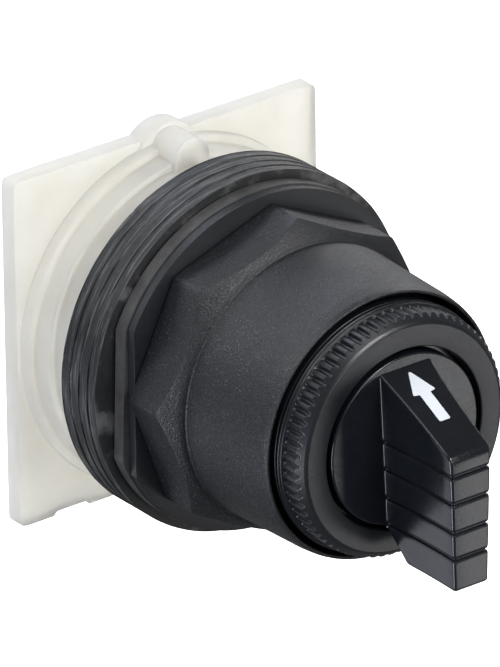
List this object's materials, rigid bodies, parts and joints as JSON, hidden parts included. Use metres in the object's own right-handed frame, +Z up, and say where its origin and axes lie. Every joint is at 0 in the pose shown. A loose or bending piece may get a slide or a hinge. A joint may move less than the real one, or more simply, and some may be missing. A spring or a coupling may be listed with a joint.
{
  "type": "rotary selector switch operator",
  "caption": "Panel-mount rotary selector head for a 30 mm hole: finger-blade knob in a knurled bezel, clamping ring nut, rubber gaskets, square translucent base with cam-driven plungers.",
  "frame": {"origin": "on the switch's axis, in the plane of the base's front face where the panel seats", "axes": "-Y points to the front, out of the panel towards the hand; +Z is up, the way the pointer shows at rest; +X is to the right seen from the front"},
  "size_m": [0.0438, 0.058, 0.0451],
  "materials": {
    "natural_nylon": "milky translucent, satin",
    "satin_black_plastic": "satin",
    "filled_black_plastic": "matt, fine speckle",
    "black_rubber": "matt",
    "gloss_black_plastic": "high gloss",
    "white_enamel": "satin",
    "natural_acetal": "satin",
    "zinc_steel": "bright zinc",
    "brass": "turned"
  },
  "bodies": {
    "housing": {"mounting_base": "natural_nylon", "operator_barrel": "satin_black_plastic", "bezel_ring": "satin_black_plastic", "plunger_carrier": "satin_black_plastic", "carrier_screw_1": "zinc_steel", "carrier_screw_2": "zinc_steel", "carrier_screw_3": "zinc_steel", "carrier_screw_4": "zinc_steel", "contact_insert_top": "brass", "contact_insert_bottom": "brass", "plunger_spring_left": "zinc_steel", "plunger_spring_right": "zinc_steel"},
    "knob_group": {"knob": "gloss_black_plastic", "arrow_inlay": "white_enamel", "shaft_oring": "black_rubber", "cam_rotor": "natural_acetal", "rotor_screw": "zinc_steel", "detent_spring_left": "zinc_steel", "detent_spring_right": "zinc_steel"},
    "ball_left": {"detent_ball_left": "zinc_steel"},
    "ball_right": {"detent_ball_right": "zinc_steel"},
    "left_plunger": {"plunger_left": "natural_acetal"},
    "right_plunger": {"plunger_right": "natural_acetal"},
    "clamp_stack": {"gasket_1": "black_rubber", "gasket_2": "black_rubber", "gasket_3": "black_rubber", "gasket_4": "black_rubber", "thrust_washer_rear": "black_rubber", "thrust_washer_front": "black_rubber"},
    "nut": {"ring_nut": "filled_black_plastic"}
  },
  "joints": [
    {"name": "knob_turn", "type": "hinge", "parent": "housing", "child": "knob_group", "pos_m": [0, -0.03, 0], "axis": [0, 1, 0], "range_deg": [-45, 45]},
    {"name": "left_plunger_travel", "type": "slide", "parent": "housing", "child": "left_plunger", "axis": [0, 1, 0], "range_m": [-0.00161, 0.00161], "deforming": ["plunger_spring_left"]},
    {"name": "right_plunger_travel", "type": "slide", "parent": "housing", "child": "right_plunger", "axis": [0, 1, 0], "range_m": [-0.00161, 0.00161], "deforming": ["plunger_spring_right"]},
    {"name": "left_ball_travel", "type": "slide", "parent": "knob_group", "child": "ball_left", "axis": [-1, 0, 0], "range_m": [0, 0.0008], "stiffness_N_per_m": 150, "springref_m": 0.0016, "deforming": ["detent_spring_left"]},
    {"name": "right_ball_travel", "type": "slide", "parent": "knob_group", "child": "ball_right", "axis": [1, 0, 0], "range_m": [0, 0.0008], "stiffness_N_per_m": 150, "springref_m": 0.0016, "deforming": ["detent_spring_right"]},
    {"name": "stack_travel", "type": "slide", "parent": "housing", "child": "clamp_stack", "axis": [0, -1, 0], "range_m": [0, 0.006]},
    {"name": "nut_turn", "type": "hinge", "parent": "clamp_stack", "child": "nut", "pos_m": [0, -0.0125, 0], "axis": [0, -1, 0], "range_deg": [0, 1441]}
  ],
  "couplings": [
    {"joint": "right_plunger_travel", "follows": "knob_turn", "m_per_rad": 0.00204},
    {"joint": "left_plunger_travel", "follows": "knob_turn", "m_per_rad": -0.00204},
    {"joint": "nut_turn", "follows": "stack_travel", "rad_per_m": 4188.8}
  ]
}
